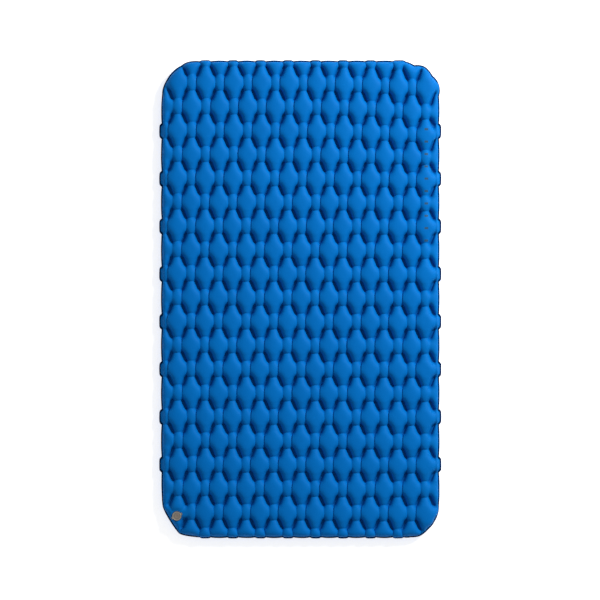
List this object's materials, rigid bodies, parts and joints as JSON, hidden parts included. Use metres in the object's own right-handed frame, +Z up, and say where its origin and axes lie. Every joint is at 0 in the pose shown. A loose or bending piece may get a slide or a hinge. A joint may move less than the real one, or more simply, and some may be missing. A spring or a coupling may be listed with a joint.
{
  "type": "inflatable double sleeping mat",
  "caption": "Rectangular two-person inflatable mat, two welded fabric sheets forming a quilt of hexagonal air cells, with a capped flat valve in one corner.",
  "frame": {"origin": "centre of the footprint on the ground", "axes": "+Z up through the mat, +Y along the mat from the valve end to the head end, +X across it"},
  "size_m": [1.158, 1.96, 0.065],
  "materials": {
    "sheet_fabric": "matt woven nylon",
    "valve_tpu": "satin",
    "cap_tpu": "satin",
    "seal_rubber": "matt",
    "silicone": "translucent"
  },
  "bodies": {
    "mat": {"top_sheet": "sheet_fabric", "bottom_sheet": "sheet_fabric", "valve_base": "valve_tpu", "plug_strap_ring": "valve_tpu"},
    "plug": {"deflate_plug": "valve_tpu", "plug_seal": "seal_rubber", "valve_seat": "valve_tpu"},
    "cap": {"inflate_cap": "cap_tpu", "cap_seal": "seal_rubber"},
    "diaphragm": {"check_diaphragm": "silicone"}
  },
  "joints": [
    {"name": "plug_hinge", "type": "hinge", "parent": "mat", "child": "plug", "pos_m": [-0.48374, -0.87542, 0.0586], "axis": [-0.4226, 0.9063, 0], "range_deg": [0, 140]},
    {"name": "cap_hinge", "type": "hinge", "parent": "plug", "child": "cap", "pos_m": [-0.52353, -0.89397, 0.0613], "axis": [0.4226, -0.9063, 0], "range_deg": [0, 150]},
    {"name": "diaphragm_slide", "type": "slide", "parent": "plug", "child": "diaphragm", "axis": [0, 0, -1], "range_m": [0, 0.0015], "stiffness_N_per_m": 20, "springref_m": -0.0005}
  ]
}
